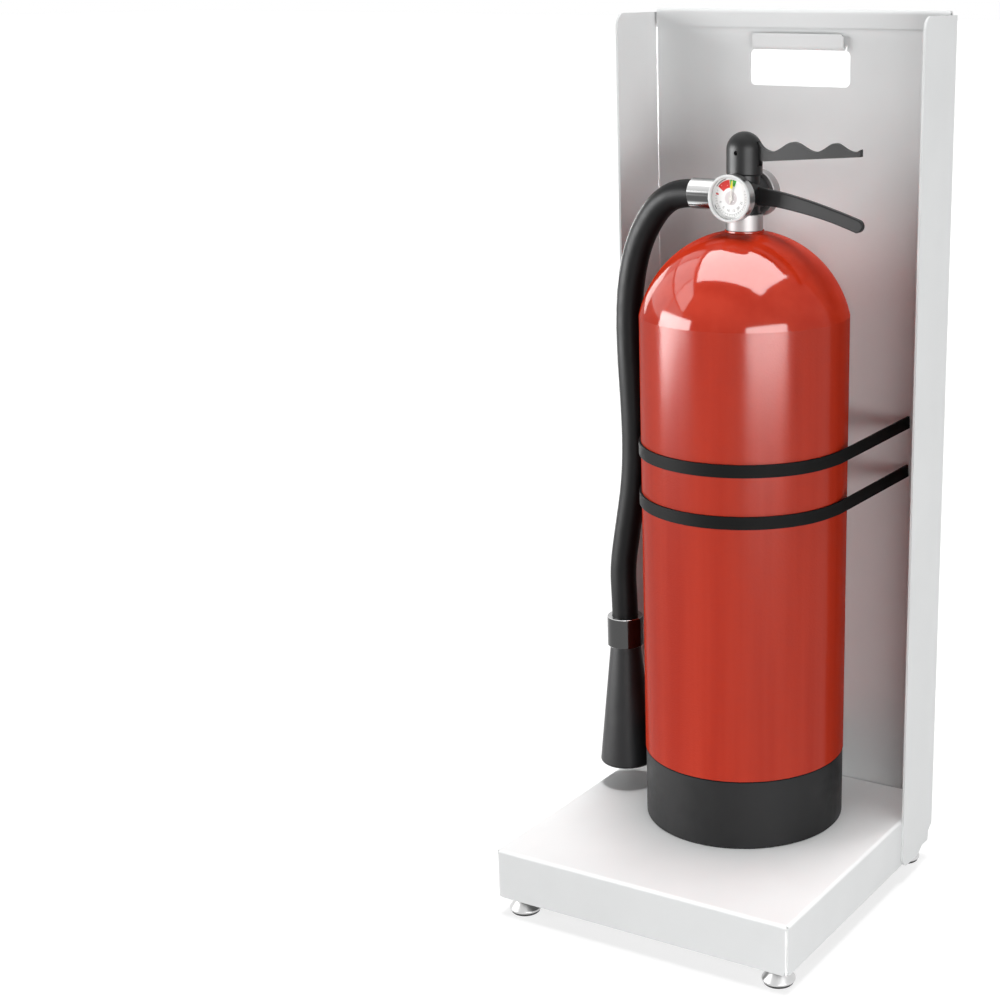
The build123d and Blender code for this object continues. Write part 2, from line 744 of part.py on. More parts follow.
# Straps: round the front of the cylinder, then straight back and up to the panel
reach = panel_face - weld_gap - cylinder_y
lean = 0.0
for repeat in range(20):
    lean = asin((strap_spread * cos(lean) - cylinder_radius) / reach)
inner = cylinder_radius + seat_gap
outer = inner + strap_thickness
for place, height in strap_heights.items():
    with BuildPart() as strap:
        with BuildSketch(Plane.XY.offset(height - strap_width)):
            with Locations((cylinder_x, cylinder_y)):
                Circle(outer)
            with BuildLine():
                foot = (outer + reach * sin(lean)) / cos(lean)
                Polyline(
                    (cylinder_x - outer * cos(lean), cylinder_y - outer * sin(lean)),
                    (cylinder_x + outer * cos(lean), cylinder_y - outer * sin(lean)),
                    (cylinder_x + foot, cylinder_y + reach),
                    (cylinder_x - foot, cylinder_y + reach),
                    close=True,
                )
            make_face()
            with Locations((cylinder_x, cylinder_y)):
                Circle(inner, mode=Mode.SUBTRACT)
            with BuildLine():
                foot = (inner + reach * sin(lean)) / cos(lean)
                Polyline(
                    (cylinder_x - inner * cos(lean), cylinder_y - inner * sin(lean)),
                    (cylinder_x + inner * cos(lean), cylinder_y - inner * sin(lean)),
                    (cylinder_x + foot, cylinder_y + reach),
                    (cylinder_x - foot, cylinder_y + reach),
                    close=True,
                )
            make_face(mode=Mode.SUBTRACT)
        extrude(amount=2 * strap_width + strap_rise)
        half = strap_width / 2
        with BuildSketch(Plane.YZ):
            with BuildLine():
                Polyline(
                    (cylinder_y - 2 * cylinder_radius, height - half), (cylinder_y, height - half),
                    (cylinder_y + reach, height + strap_rise - half),
                    (cylinder_y + reach - 1.2, height + strap_rise + half),
                    (cylinder_y, height + half), (cylinder_y - 2 * cylinder_radius, height + half),
                    close=True,
                )
            make_face()
        extrude(amount=half_width, both=True, mode=Mode.INTERSECT)
    finish(strap, f"strap_{place}")
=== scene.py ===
import json
import math

import bmesh
import bpy
from mathutils import Matrix, Vector

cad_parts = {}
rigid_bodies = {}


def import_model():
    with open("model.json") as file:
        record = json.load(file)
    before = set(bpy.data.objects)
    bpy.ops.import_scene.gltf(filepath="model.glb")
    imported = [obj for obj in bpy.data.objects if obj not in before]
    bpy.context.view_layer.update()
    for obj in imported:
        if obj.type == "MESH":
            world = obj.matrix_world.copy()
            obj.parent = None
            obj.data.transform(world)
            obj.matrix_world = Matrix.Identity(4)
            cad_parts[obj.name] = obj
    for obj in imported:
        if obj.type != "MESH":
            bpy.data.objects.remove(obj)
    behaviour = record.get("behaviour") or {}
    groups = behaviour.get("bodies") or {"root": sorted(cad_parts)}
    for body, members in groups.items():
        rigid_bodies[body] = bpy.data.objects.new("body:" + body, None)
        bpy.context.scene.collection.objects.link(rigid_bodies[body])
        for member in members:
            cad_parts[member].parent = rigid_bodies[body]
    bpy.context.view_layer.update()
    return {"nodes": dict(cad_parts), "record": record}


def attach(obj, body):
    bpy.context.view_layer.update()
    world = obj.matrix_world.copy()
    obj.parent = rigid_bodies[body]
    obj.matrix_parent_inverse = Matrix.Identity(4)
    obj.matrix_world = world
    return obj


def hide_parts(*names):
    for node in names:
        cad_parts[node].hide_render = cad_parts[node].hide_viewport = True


# A floor stand of folded white sheet metal with its fire extinguisher strapped in.
# Metres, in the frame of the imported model: X right, Y back, Z up, origin on the floor.
# The object's own sizes are written in millimetres, those of the floor and lamps in metres.
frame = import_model()
nodes = frame["nodes"]
subparts = frame["record"]["subparts"]
scene = bpy.context.scene
scene.view_settings.view_transform = "Standard"

MM = 0.001
# The cylinder's upright axis
AXIS_X, AXIS_Y = 3.5, 37.7


def mm(*values):
    """A point or size given in millimetres."""
    return Vector([v * MM for v in values])


# Camera: the front picture's own place, its turn and its lens
CAMERA_DOWN, CAMERA_TURN = 17.03, 28.78
camera_data = bpy.data.cameras.new("camera")
camera = bpy.data.objects.new("camera", camera_data)
scene.collection.objects.link(camera)
camera.location = mm(747.1, -1315.5, 789.3)
camera.rotation_euler = (math.radians(90 - CAMERA_DOWN), 0, math.radians(CAMERA_TURN))
camera_data.sensor_width = 36
camera_data.lens = 66.49
camera_data.shift_x = -0.2448
camera_data.shift_y = 0.0395
scene.camera = camera

# Hose: one smooth curve from the ferrule down to the horn
HOSE_RADIUS = 11.8
HOSE_ROUTE = [
    (-38.0, 37.7, 613.5),
    (-57.5, 37.7, 613.5),
    (-75.2, 37.6, 605.0),
    (-88.4, 37.3, 589.0),
    (-98.9, 36.9, 569.5),
    (-106.4, 36.4, 543.5),
    (-110.2, 35.8, 512.0),
    (-109.8, 35.4, 475.0),
    (-107.4, 35.5, 435.0),
    (-106.0, 36.0, 395.0),
    (-108.0, 36.2, 354.0),
    (-115.4, 35.6, 311.0),
    (-121.6, 34.8, 272.0),
    (-119.4, 34.0, 240.0),
    (-119.4, 34.0, 216.0),
]


def smooth_curve(name, route, radius):
    """A round cord along a NURBS line with the route's points as control points."""
    data = bpy.data.curves.new(name, "CURVE")
    data.dimensions = "3D"
    spline = data.splines.new("NURBS")
    spline.points.add(len(route) - 1)
    for point, place in zip(spline.points, route):
        point.co = (*mm(*place), 1)
        point.radius = radius * MM
    spline.order_u = 3
    spline.use_endpoint_u = True
    spline.resolution_u = 12
    data.bevel_depth = 1.0
    data.bevel_resolution = 8
    data.use_fill_caps = True
    piece = bpy.data.objects.new(name, data)
    scene.collection.objects.link(piece)
    return piece


hose = smooth_curve("hose_line", HOSE_ROUTE, HOSE_RADIUS)
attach(hose, "stand")
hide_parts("hose")


# Materials
class Shader:
    """A material with one Principled shader, and short ways to add detail to it."""

    def __init__(self, name, color, roughness, metallic=0.0, **sockets):
        self.material = bpy.data.materials.new(name)
        self.material.use_nodes = True
        self.tree = self.material.node_tree
        self.principled = self.tree.nodes["Principled BSDF"]
        self.set("Base Color", (*color, 1))
        self.set("Roughness", roughness)
        self.set("Metallic", metallic)
        for socket, value in sockets.items():
            self.set(socket.replace("_", " "), value)
        self.coordinates = self.tree.nodes.new("ShaderNodeTexCoord").outputs["Object"]

    def set(self, socket, value):
        self.principled.inputs[socket].default_value = value

    def node(self, kind, **settings):
        made = self.tree.nodes.new("ShaderNode" + kind)
        for key, value in settings.items():
            setattr(made, key, value)
        return made

    def link(self, source, target):
        self.tree.links.new(source, target)

    def stretched(self, scale):
        """Object coordinates scaled apart along each axis."""
        mapping = self.node("Mapping")
        mapping.inputs["Scale"].default_value = scale
        self.link(self.coordinates, mapping.inputs["Vector"])
        return mapping.outputs["Vector"]

    def noise(self, size_mm, detail=3.0, scale=(1, 1, 1)):
        """Noise with features of about that size."""
        made = self.node("TexNoise")
        made.inputs["Scale"].default_value = 1 / (size_mm * MM)
        made.inputs["Detail"].default_value = detail
        vector = self.coordinates if scale == (1, 1, 1) else self.stretched(scale)
        self.link(vector, made.inputs["Vector"])
        return made.outputs["Fac"]

    def spread(self, value, low, high, start=0.3, end=0.7):
        """Maps a value between start and end to one between low and high."""
        made = self.node("MapRange")
        made.inputs["From Min"].default_value = start
        made.inputs["From Max"].default_value = end
        made.inputs["To Min"].default_value = low
        made.inputs["To Max"].default_value = high
        self.link(value, made.inputs["Value"])
        return made.outputs["Result"]

    def mix(self, factor, first, second):
        """A colour between two."""
        made = self.node("Mix", data_type="RGBA")
        self.link(factor, made.inputs["Factor"])
        made.inputs["A"].default_value = (*first, 1)
        made.inputs["B"].default_value = (*second, 1)
        return made.outputs["Result"]

    def color(self, output):
        self.link(output, self.principled.inputs["Base Color"])

    def rough(self, output):
        self.link(output, self.principled.inputs["Roughness"])

    def bump(self, height, depth_mm):
        """Relief of that depth."""
        made = self.node("Bump")
        made.inputs["Strength"].default_value = 1.0
        made.inputs["Distance"].default_value = depth_mm * MM
        self.link(height, made.inputs["Height"])
        self.link(made.outputs["Normal"], self.principled.inputs["Normal"])


def powder_coat(name, color, roughness, grain_mm, **sockets):
    """Powder coat: a fine orange peel, with a little unevenness in its gloss and colour."""
    made = Shader(name, color, roughness, **sockets)
    tint = made.spread(made.noise(60, detail=2), 0, 1)
    dim = [c * 0.97 for c in color]
    made.color(made.mix(tint, dim, color))
    made.rough(made.spread(made.noise(25), roughness - 0.03, roughness + 0.05))
    made.bump(made.noise(grain_mm, detail=2), depth_mm=0.012)
    return made


# The sheet's slight cool tint is painted: it offsets the red light that the cylinder throws onto the sheet
white_sheet = powder_coat("white_sheet", (0.834, 0.845, 0.846), 0.4, grain_mm=0.9, Specular_IOR_Level=0.35)

# The same coat where it lies thicker, in a bend or on a welded corner
bend_gloss = Shader("bend_gloss", (0.86, 0.86, 0.86), 0.4, Coat_Weight=1.0, Coat_Roughness=0.3, Coat_IOR=2.0)
bend_gloss.bump(bend_gloss.noise(0.9, detail=2), depth_mm=0.006)


def red_enamel(name, gloss, peel_mm, streaks=(1, 1, 1)):
    """Deep red enamel under a clear coat: sharp on the pressed dome, with orange peel on the wall."""
    made = Shader(
        name,
        (0.53, 0.031, 0.009),
        0.35,
        Specular_IOR_Level=0.0,
        Coat_Weight=0.2,
        Coat_Roughness=gloss,
        Coat_IOR=1.85,
    )
    tint = made.spread(made.noise(28, scale=streaks), 0, 1, start=0.35, end=0.65)
    made.color(made.mix(tint, (0.49, 0.025, 0.006), (0.565, 0.039, 0.014)))
    made.bump(made.noise(2.2, detail=2, scale=(1, 1, 1.6)), peel_mm)
    return made


red_paint = red_enamel("red_paint", gloss=0.08, peel_mm=0.004)
red_wall = red_enamel("red_wall", gloss=0.18, peel_mm=0.32, streaks=(1, 1, 0.04))

black_boot = Shader("black_boot", (0.013, 0.013, 0.0135), 0.5, Specular_IOR_Level=0.2)
black_boot.rough(black_boot.spread(black_boot.noise(12), 0.44, 0.56))
black_boot.bump(black_boot.noise(0.6, detail=2), depth_mm=0.02)

black_lever = powder_coat("black_lever", (0.0135, 0.0135, 0.014), 0.36, grain_mm=0.6, Specular_IOR_Level=0.22)
black_valve = Shader("black_valve", (0.006, 0.006, 0.007), 0.3, Specular_IOR_Level=0.25)
black_valve.bump(black_valve.noise(1.2, detail=2), depth_mm=0.008)

chrome = Shader("chrome", (0.40, 0.40, 0.405), 0.12, metallic=1.0)
chrome.rough(chrome.spread(chrome.noise(8, detail=4), 0.08, 0.18))
gauge_steel = Shader("gauge_steel", (0.60, 0.60, 0.60), 0.3, metallic=1.0)
gauge_steel.rough(gauge_steel.spread(gauge_steel.noise(8, detail=4), 0.26, 0.36))

# Painted reflections on the chrome: tones by where it faces, down (0) through level (0.5) to up (1)
CHROME_PAINTED_REFLECTIONS = [
    (0.0, 0.5),
    (0.22, 0.75),
    (0.30, 0.10),
    (0.56, 0.07),
    (0.62, 0.55),
    (0.80, 0.80),
    (1.0, 0.45),
]


def banded(finish, bands):
    """Painted reflections: light and dark bands in a metal piece's colour, by the way its surface faces: up,
    level or down.
    """
    facing = finish.node("SeparateXYZ")
    finish.link(finish.node("TexCoord").outputs["Normal"], facing.inputs[0])
    level = finish.node("MapRange")
    level.inputs["From Min"].default_value = -1.0
    finish.link(facing.outputs["Z"], level.inputs["Value"])
    ramp = finish.node("ValToRGB")
    finish.link(level.outputs["Result"], ramp.inputs["Fac"])
    while len(ramp.color_ramp.elements) < len(bands):
        ramp.color_ramp.elements.new(0.5)
    for element, (place, tone) in zip(ramp.color_ramp.elements, bands):
        element.position = place
        element.color = (tone, tone, tone, 1)
    finish.color(ramp.outputs["Color"])


banded(chrome, CHROME_PAINTED_REFLECTIONS)

# Fine lines round a turned piece
TURNED_LINES = (0.05, 0.05, 1.0)
satin_metal = Shader("satin_metal", (0.42, 0.40, 0.40), 0.42, metallic=1.0)
satin_metal.bump(satin_metal.noise(0.5, scale=TURNED_LINES), depth_mm=0.01)
foot_metal = Shader("foot_metal", (0.62, 0.62, 0.62), 0.3, metallic=1.0)
foot_metal.bump(foot_metal.noise(0.4, scale=TURNED_LINES), depth_mm=0.01)

zinc = Shader("zinc", (0.60, 0.60, 0.57), 0.38, metallic=1.0)
zinc_patches = zinc.spread(zinc.noise(6, detail=4), 0, 1)
zinc.color(zinc.mix(zinc_patches, (0.52, 0.52, 0.50), (0.66, 0.66, 0.63)))

gauge_white = Shader("gauge_white", (0.86, 0.87, 0.87), 0.25, Coat_Weight=0.5)
gauge_dial = Shader("gauge_dial", (0.74, 0.74, 0.73), 0.6)
gauge_yellow = Shader("gauge_yellow", (0.62, 0.60, 0.56), 0.4)
gauge_glass = Shader("gauge_glass", (1, 1, 1), 0.02, Transmission_Weight=1.0, IOR=1.2, Alpha=0.1)
dial_red = Shader("dial_red", (0.55, 0.02, 0.015), 0.5)
dial_green = Shader("dial_green", (0.05, 0.36, 0.04), 0.5)
dial_black = Shader("dial_black", (0.10, 0.09, 0.09), 0.5)
dial_shade_grey = Shader("dial_shade_grey", (0.60, 0.56, 0.56), 0.5)
needle_yellow = Shader("needle_yellow", (0.72, 0.62, 0.02), 0.4)

hose_rubber = Shader("hose_rubber", (0.004, 0.004, 0.0045), 0.42, Specular_IOR_Level=0.16)
hose_rubber.rough(hose_rubber.spread(hose_rubber.noise(10), 0.36, 0.5))
hose_rubber.bump(hose_rubber.noise(0.7), depth_mm=0.03)

black_horn = Shader("black_horn", (0.011, 0.011, 0.012), 0.4, Specular_IOR_Level=0.3)
black_horn.rough(black_horn.spread(black_horn.noise(14), 0.34, 0.46))
black_horn.bump(black_horn.noise(0.6, detail=2), depth_mm=0.02)

strap_rubber = Shader("strap_rubber", (0.003, 0.003, 0.003), 0.6, Specular_IOR_Level=0.08)
strap_rubber.bump(strap_rubber.noise(0.5, detail=2, scale=(1, 1, 4)), depth_mm=0.03)

pad_rubber = Shader("pad_rubber", (0.015, 0.015, 0.015), 0.7)
pad_rubber.bump(pad_rubber.noise(0.5, detail=2), depth_mm=0.02)

pictogram_grey = Shader("pictogram_grey", (0.262, 0.296, 0.325), 0.45)
pictogram_grey.bump(pictogram_grey.noise(0.9, detail=2), depth_mm=0.01)

FINISHES = {
    "white_sheet": white_sheet, "red_paint": red_paint, "black_boot": black_boot,
    "satin_metal": satin_metal, "black_valve": black_valve, "black_lever": black_lever,
    "chrome": chrome, "gauge_white": gauge_white, "gauge_glass": gauge_glass,
    "gauge_dial": gauge_dial, "gauge_yellow": gauge_yellow, "hose_rubber": hose_rubber,
    "black_horn": black_horn, "strap_rubber": strap_rubber, "zinc": zinc,
    "foot_metal": foot_metal, "pad_rubber": pad_rubber, "gauge_steel": gauge_steel,
}
for part in subparts:
    finish = red_wall if part["node"] == "cylinder_wall" else FINISHES[part["material_slot"]]
    materials = nodes[part["node"]].data.materials
    for index in range(len(materials)):
        materials[index] = finish.material
hose.data.materials.append(hose_rubber.material)


# New pieces
def added(name, data, finish, body="stand"):
    """Puts a mesh into the scene as a piece that rides on a body."""
    data.materials.append(finish.material)
    piece = bpy.data.objects.new(name, data)
    scene.collection.objects.link(piece)
    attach(piece, body)
    return piece


def smooth_mesh(name, corners, faces):
    """A mesh with smooth shading."""
    data = bpy.data.meshes.new(name)
    data.from_pydata(corners, [], faces)
    data.polygons.foreach_set("use_smooth", [True] * len(faces))
    return data


def turned(name, profile, finish):
    """A smooth surface of revolution about the cylinder's axis, from (radius, height) pairs."""
    turns = 160
    corners = []
    for radius, height in profile:
        for i in range(turns):
            a = 2 * math.pi * i / turns
            corners.append(mm(AXIS_X + radius * math.cos(a), AXIS_Y + radius * math.sin(a), height))
    faces = []
    for ring in range(len(profile) - 1):
        low, high = ring * turns, (ring + 1) * turns
        for i in range(turns):
            after = (i + 1) % turns
            faces.append((low + i, low + after, high + after, high + i))
    return added(name, smooth_mesh(name, corners, faces), finish)


# Paint over the joint of wall and dome, which leaves no step there
CREASE, DOME_MIDDLE, DOME_RADIUS, DOME_HEIGHT = 515.32, 500.0, 89.4, 85.8
SKIN_REACH = 45.0
SKIN_RINGS = 40
SKIN_THICK = 1.09
SKIN_SUNK = 0.03
WALL_SKIN_RADIUS, WALL_SKIN_FOOT = 89.03, 512.8


def skin_radius(height):
    """The dome's own radius, and the skin on it, which thins upwards until its edge is sunk in."""
    own = DOME_RADIUS * math.sqrt(1 - ((height - DOME_MIDDLE) / DOME_HEIGHT) ** 2)
    return own + SKIN_THICK * (1 - (height - CREASE) / SKIN_REACH) ** 2 - SKIN_SUNK


wall_profile = [(WALL_SKIN_RADIUS, WALL_SKIN_FOOT), (WALL_SKIN_RADIUS, CREASE)]
wall_skin = turned("wall_skin", wall_profile, red_wall)
skin_heights = [CREASE + SKIN_REACH * i / SKIN_RINGS for i in range(SKIN_RINGS)]
dome_skin = turned("dome_skin", [(skin_radius(h), h) for h in skin_heights], red_paint)

# A dark ring round the wall just above the boot: painted shadow, for the shade in the thin gap between wall
# and boot
SHADOW_LINE_PROFILE = [(88.7, 124.4), (89.06, 124.6), (89.06, 125.6)]
boot_shadow_line = turned("boot_shadow_line", SHADOW_LINE_PROFILE, strap_rubber)


def upright(name, outline, heights):
    """A smooth upright strip through (x, y) points, between two heights."""
    corners = [mm(x, y, z) for z in heights for x, y in outline]
    count = len(outline)
    faces = [(i, i + 1, count + i + 1, count + i) for i in range(count - 1)]
    return added(name, smooth_mesh(name, corners, faces), bend_gloss)


def arc(x, y, radius, start, end):
    """Points of an arc, by degrees from +X towards +Y."""
    steps = 10
    angles = [math.radians(start + (end - start) * i / steps) for i in range(steps + 1)]
    return [(x + radius * math.cos(a), y + radius * math.sin(a)) for a in angles]


# Bright lines of the coat: in the bend beside the left flange, and down the tray's closed front corners
BEND_HEIGHTS = (34, 744)
BEAD_HEIGHTS = (17.4, 58.6)
BEAD_X, BEAD_Y, BEAD_RADIUS = 141.0, -143.1, 1.1
bend_line = upright("bend_line", arc(-141.9, 140.9, 0.98, 90, 180), BEND_HEIGHTS)
bead_right = upright("corner_bead_right", arc(BEAD_X, BEAD_Y, BEAD_RADIUS, -175, 5), BEAD_HEIGHTS)
bead_left = upright("corner_bead_left", arc(-BEAD_X, BEAD_Y, BEAD_RADIUS, -185, -5), BEAD_HEIGHTS)


# Printed marks: thin flat shapes just in front of the surface that they are printed on
def printed(name, outlines, depth, toward_back, finish, body="stand"):
    """Flat polygons of (x, z) in millimetres at one depth, seen from the front or from the back."""
    mesh = bmesh.new()
    for outline in outlines:
        face = mesh.faces.new([mesh.verts.new(mm(x, depth, z)) for x, z in outline])
        face.normal_update()
        if (face.normal.y > 0) != toward_back:
            face.normal_flip()
    bmesh.ops.triangulate(mesh, faces=mesh.faces[:])
    data = bpy.data.meshes.new(name)
    mesh.to_mesh(data)
    mesh.free()
    return added(name, data, finish, body)


# The dial's middle, and the depths of its print and of the needle's head
DIAL_X, DIAL_Z = AXIS_X, 614.0
DIAL_PRINT, NEEDLE_FRONT = 14.55, 13.3


def on_dial(angle, radius):
    """A point of the dial: degrees clockwise from the top, and millimetres from its middle."""
    a = math.radians(angle)
    return DIAL_X + radius * math.sin(a), DIAL_Z + radius * math.cos(a)


def sector(start, end, inner, outer):
    """A ring sector of the dial, in steps of about 3 degrees."""
    count = max(1, round(abs(end - start) / 3))
    angles = [start + (end - start) * i / count for i in range(count + 1)]
    return [on_dial(a, inner) for a in angles] + [on_dial(a, outer) for a in reversed(angles)]


def dial_print(name, sectors, finish):
    """Marks printed on the dial, and the painted shade round its middle."""
    printed(name, sectors, DIAL_PRINT, False, finish)


dial_print("dial_red_zone", [sector(-53, -4.5, 8.5, 14.9)], dial_red)
dial_print("dial_green_zone", [sector(-3, 21, 10, 15)], dial_green)
dial_print("dial_left_mark", [sector(-80, -74, 11.6, 14.2)], dial_red)

# Short arcs at the rim, then the ticks, then the arc under them
marks = [sector(-56, -16, 15.6, 16.3), sector(-125, -112, 15.9, 16.5), sector(160, 200, 15.4, 15.6)]
TICK_ANGLES = [180 + step * 0.92 for step in range(-125, 126, 10)]
marks += [sector(angle - 0.5, angle + 0.5, 13.4, 14.6) for angle in TICK_ANGLES]
marks.append(sector(70, 290, 13.1, 13.25))
dial_print("dial_marks", marks, dial_black)
# A darker pinkish grey disc round the middle: painted shade round the needle's hub
dial_print("dial_hub_shade", [sector(0, 360, 0.8, 5.6)], dial_shade_grey)

NUMBERS = (0, 5, 10, 15, 20, 25)
NUMBER_SIZE, NUMBER_RADIUS = 2.9, 10.4
FIRST_ANGLE, ANGLE_STEP = 250, 28


def dial_numbers():
    """Plain numbers round the lower half of the dial, as one mesh."""
    joined = bmesh.new()
    for index, value in enumerate(NUMBERS):
        data = bpy.data.curves.new("number", "FONT")
        data.body = str(value)
        data.size = NUMBER_SIZE * MM
        data.align_x = "CENTER"
        data.align_y = "CENTER"
        data.resolution_u = 2
        text = bpy.data.objects.new("number", data)
        flat_text = bpy.data.meshes.new_from_object(text)
        angle = FIRST_ANGLE - ANGLE_STEP * index
        x, z = on_dial(angle, NUMBER_RADIUS)
        stand_up = Matrix.Rotation(math.pi / 2, 4, "X")
        lean = Matrix.Rotation(math.radians(angle - 180), 4, "Y")
        flat_text.transform(Matrix.Translation(mm(x, DIAL_PRINT, z)) @ lean @ stand_up)
        joined.from_mesh(flat_text)
        bpy.data.objects.remove(text)
        bpy.data.curves.remove(data)
        bpy.data.meshes.remove(flat_text)
    data = bpy.data.meshes.new("dial_numbers")
    joined.to_mesh(data)
    joined.free()
    added("dial_numbers", data, dial_black)


dial_numbers()

# The needle's wide yellow head, on the needle's own body: angles from the needle, and radii
NEEDLE_ANGLE = 8.0
NEEDLE_HEAD = [(0, 7.4), (-9, 9.4), (-4, 10.8), (-1.6, 14.3), (1.6, 14.3), (4, 10.8), (9, 9.4)]
head = [on_dial(NEEDLE_ANGLE + aside, radius) for aside, radius in NEEDLE_HEAD]
printed("needle_head", [head], NEEDLE_FRONT, False, needle_yellow, "gauge_needle")

# The pictogram on the back, as (x, z) seen from behind, where x runs the other way
PICTURE_DEPTH = 144.02
PICTURE_BODY = [
    (-15.6, 479), (15.6, 479), (17.0, 479.6), (17.5, 481), (17.5, 560.5), (16.6, 563.6), (14.2, 566.0),
    (10.5, 567.9), (5.0, 569.8), (3.1, 570.8), (2.2, 572.4), (2.3, 574.2), (3.2, 575.6), (4.6, 576.1),
    (9.9, 575.9), (17.2, 573.4), (22.0, 570.9), (25.4, 568.7), (26.0, 569.0), (26.1, 569.9), (22.8, 573.0),
    (17.6, 575.9), (10.9, 578.2), (5.6, 579.3), (3.8, 580.2), (3.6, 581.6), (5.2, 583.0), (8.4, 583.9),
    (17.2, 584.6), (18.1, 585.3), (18.0, 586.2), (17.2, 586.8), (11.0, 586.3), (6.8, 586.7), (-0.5, 585.8),
    (-3.2, 584.8), (-4.9, 583.0), (-6.2, 580.4), (-7.6, 579.8), (-7.4, 574.9), (-5.2, 574.6), (-3.8, 573.5),
    (-3.4, 571.8), (-4.2, 570.2), (-5.9, 569.2), (-14.6, 568.4), (-16.8, 567.6), (-17.5, 565.6),
    (-17.5, 481), (-17.0, 479.6),
]
PICTURE_HOSE = [
    (-7.4, 577.3, 4.9), (-13.0, 577.5, 5.0), (-20.3, 576.6, 5.1), (-28.6, 573.4, 5.2), (-34.9, 567.2, 5.2),
    (-38.0, 560.0, 5.1), (-38.9, 551.5, 5.0), (-37.0, 543.0, 4.7), (-32.8, 534.3, 4.2), (-27.6, 523.6, 3.7),
    (-23.4, 512.5, 3.3), (-21.4, 499.8, 2.7), (-20.5, 491.0, 1.8), (-20.3, 482.5, 0.5),
]


def ribbon(route):
    """A band of (x, z, width) along a route, smoothed, as four-sided faces."""
    points = [Vector(place) for place in route]
    fine = []
    for i in range(len(points) - 1):
        before, start, end = points[max(i - 1, 0)], points[i], points[i + 1]
        after = points[min(i + 2, len(points) - 1)]
        for t in (0, 0.25, 0.5, 0.75):
            curve = 2 * start + (end - before) * t + (2 * before - 5 * start + 4 * end - after) * t ** 2
            fine.append((curve + (3 * start - before - 3 * end + after) * t ** 3) / 2)
    fine.append(points[-1])
    sides = []
    for i, place in enumerate(fine):
        ahead, behind = fine[min(i + 1, len(fine) - 1)], fine[max(i - 1, 0)]
        along = Vector((ahead.x - behind.x, ahead.y - behind.y)).normalized()
        out = Vector((-along.y, along.x)) * place.z / 2
        sides.append(((place.x + out.x, place.y + out.y), (place.x - out.x, place.y - out.y)))
    return [[a[0], a[1], b[1], b[0]] for a, b in zip(sides, sides[1:])]


picture = [PICTURE_BODY] + ribbon(PICTURE_HOSE)
picture = [[(-x, z) for x, z in outline] for outline in picture]
printed("pictogram", picture, PICTURE_DEPTH, True, pictogram_grey)


# Floor and surroundings
def seen_directly(tree):
    """One for rays from the camera, from a mirror or through glass."""
    path = tree.nodes.new("ShaderNodeLightPath")
    first = tree.nodes.new("ShaderNodeMath")
    first.operation = "MAXIMUM"
    second = tree.nodes.new("ShaderNodeMath")
    second.operation = "MAXIMUM"
    tree.links.new(path.outputs["Is Camera Ray"], first.inputs[0])
    tree.links.new(path.outputs["Is Glossy Ray"], first.inputs[1])
    tree.links.new(first.outputs[0], second.inputs[0])
    tree.links.new(path.outputs["Is Transmission Ray"], second.inputs[1])
    return second.outputs[0]


# The floor reflects part of its light, and shows white with the object's shadow on it
WHITE = (1, 1, 1, 1)
FLOOR_TONE = (0.30, 0.30, 0.30)
FLOOR_LIFT = 0.78
FLOOR_HALF, FLOOR_DROP = 30.0, 0.0002
floor_white = Shader("floor_white", FLOOR_TONE, 0.9, Specular_IOR_Level=0.0, Emission_Color=WHITE)
lift = floor_white.node("Math", operation="MULTIPLY")
floor_white.link(seen_directly(floor_white.tree), lift.inputs[0])
lift.inputs[1].default_value = FLOOR_LIFT
floor_white.link(lift.outputs[0], floor_white.principled.inputs["Emission Strength"])

floor_data = bpy.data.meshes.new("floor")
floor_corners = [(x * FLOOR_HALF, y * FLOOR_HALF, 0) for x, y in ((-1, -1), (1, -1), (1, 1), (-1, 1))]
floor_data.from_pydata(floor_corners, [], [(0, 1, 2, 3)])
floor_data.materials.append(floor_white.material)
floor = bpy.data.objects.new("floor", floor_data)
floor.location = (0, 0, -FLOOR_DROP)
scene.collection.objects.link(floor)

# The surroundings are white to look at, and give the object little light
WORLD_FILL = 0.03
world = bpy.data.worlds.new("studio")
scene.world = world
world.use_nodes = True
world_tree = world.node_tree
ambient = world_tree.nodes["Background"]
ambient.inputs["Color"].default_value = WHITE
ambient_level = world_tree.nodes.new("ShaderNodeMapRange")
ambient_level.inputs["To Min"].default_value = WORLD_FILL
ambient_level.inputs["To Max"].default_value = 1.0
world_tree.links.new(seen_directly(world_tree), ambient_level.inputs["Value"])
world_tree.links.new(ambient_level.outputs["Result"], ambient.inputs["Strength"])

# Lamps: the bright boxes aim at the dome, and the low lamps at the middle of the wall
DOME = mm(AXIS_X, AXIS_Y, 530)
WALL = mm(AXIS_X, AXIS_Y, 320)
LAMP_AWAY = 2.2


def toward(azimuth, elevation):
    """A direction: azimuth from the front, to the right, and elevation, in degrees."""
    a, e = math.radians(azimuth), math.radians(elevation)
    return Vector((math.sin(a) * math.cos(e), -math.cos(a) * math.cos(e), math.sin(e)))


def daylight(name, azimuth, elevation, level, angle):
    """A wide soft lamp far away: level is the share of full light that it gives a surface facing it."""
    data = bpy.data.lights.new(name, "SUN")
    data.energy = level * math.pi
    data.angle = math.radians(angle)
    lamp = bpy.data.objects.new(name, data)
    lamp.rotation_euler = (-toward(azimuth, elevation)).to_track_quat("-Z", "Y").to_euler()
    scene.collection.objects.link(lamp)
    lamp.visible_glossy = False
    return lamp


